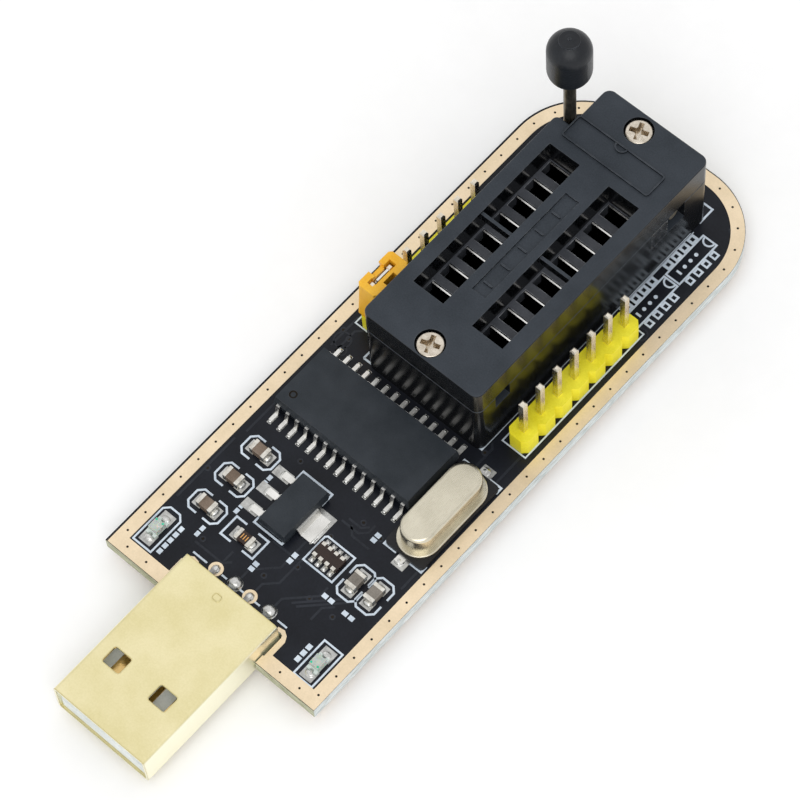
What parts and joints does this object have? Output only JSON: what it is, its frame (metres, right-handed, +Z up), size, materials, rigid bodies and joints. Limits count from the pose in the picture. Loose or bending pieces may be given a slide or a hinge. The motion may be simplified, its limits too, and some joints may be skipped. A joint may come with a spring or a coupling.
{
  "type": "usb microcontroller programmer",
  "caption": "Stick-shaped circuit board with a USB plug at one end and a lever-operated zero-insertion-force chip socket, pin headers, jumper and surface-mount parts.",
  "frame": {"origin": "under the middle of the whole assembly, level with the ends of the solder tails that it rests on", "axes": "+Z up from the component side of the board, +Y along the stick from the USB plug towards the lever end, +X to the right seen from the USB plug"},
  "size_m": [0.0276, 0.0852, 0.0286],
  "materials": {
    "solder_mask": "dark blue-black solder mask over glass-epoxy board",
    "gold_shell": "satin pale gold plating over steel",
    "usb_insulator": "white moulded plastic",
    "gold_contact": "bright gold plating",
    "socket_plastic": "fine-grained charcoal moulded plastic",
    "slider_plastic": "dark grey moulded plastic",
    "contact_nickel": "bright nickel-plated spring metal",
    "screw_nickel": "nickel-plated steel",
    "lever_steel": "dark oxidised steel",
    "knob_plastic": "charcoal moulded plastic with a soft satin finish",
    "header_yellow": "bright yellow moulded plastic",
    "pin_tin": "tin plating with a warm tint",
    "jumper_orange": "orange-yellow moulded plastic",
    "package_black": "black epoxy moulding compound",
    "lead_tin": "matt tin plating",
    "crystal_can": "satin nickel-silver can",
    "crystal_base": "black moulded plastic",
    "ceramic_brown": "brown fired ceramic",
    "end_tin": "tin-plated termination",
    "resistor_film": "dark overglaze on ceramic",
    "led_carrier": "pale laminate carrier",
    "led_lens": "milky clear epoxy"
  },
  "bodies": {
    "board": {"circuit_board": "solder_mask", "usb_shell": "gold_shell", "usb_insulator": "usb_insulator", "usb_contact_1": "gold_contact", "usb_contact_2": "gold_contact", "usb_contact_3": "gold_contact", "usb_contact_4": "gold_contact", "zif_base": "socket_plastic", "zif_cover": "socket_plastic", "zif_contacts_left": "contact_nickel", "zif_contacts_right": "contact_nickel", "shaft_clip": "contact_nickel", "cover_screw_front": "screw_nickel", "cover_screw_rear": "screw_nickel", "header_body_left": "header_yellow", "header_body_right": "header_yellow", "header_pins_left": "pin_tin", "header_pins_right": "pin_tin", "interface_chip": "package_black", "regulator": "package_black", "interface_chip_leads": "lead_tin", "regulator_leads": "lead_tin", "regulator_tab": "lead_tin", "crystal_leads": "lead_tin", "crystal_can": "crystal_can", "crystal_base": "crystal_base", "capacitor_1": "ceramic_brown", "capacitor_2": "ceramic_brown", "capacitor_3": "ceramic_brown", "capacitor_4": "ceramic_brown", "capacitor_5": "ceramic_brown", "capacitor_1_ends": "end_tin", "capacitor_2_ends": "end_tin", "capacitor_3_ends": "end_tin", "capacitor_4_ends": "end_tin", "capacitor_5_ends": "end_tin", "resistor_ends": "end_tin", "resistor_array_ends": "end_tin", "resistor": "resistor_film", "resistor_array": "resistor_film", "power_led_carrier": "led_carrier", "status_led_carrier": "led_carrier", "power_led_lens": "led_lens", "status_led_lens": "led_lens"},
    "lever": {"lever_arm": "lever_steel", "lever_knob": "knob_plastic"},
    "slider": {"zif_slider": "slider_plastic"},
    "jumper": {"jumper_cap": "jumper_orange", "jumper_clip": "contact_nickel"}
  },
  "joints": [
    {"name": "lever_swing", "type": "hinge", "parent": "board", "child": "lever", "pos_m": [0.00025, 0.03322, 0.0099], "axis": [-1, 0, 0], "range_deg": [0, 90]},
    {"name": "slider_slide", "type": "slide", "parent": "board", "child": "slider", "axis": [0, 1, 0], "range_m": [0, 0.0009]},
    {"name": "jumper_pull", "type": "slide", "parent": "board", "child": "jumper", "axis": [0, 0, 1], "range_m": [0, 0.006]}
  ],
  "couplings": [
    {"joint": "slider_slide", "follows": "lever_swing", "m_per_rad": 0.00057295}
  ]
}
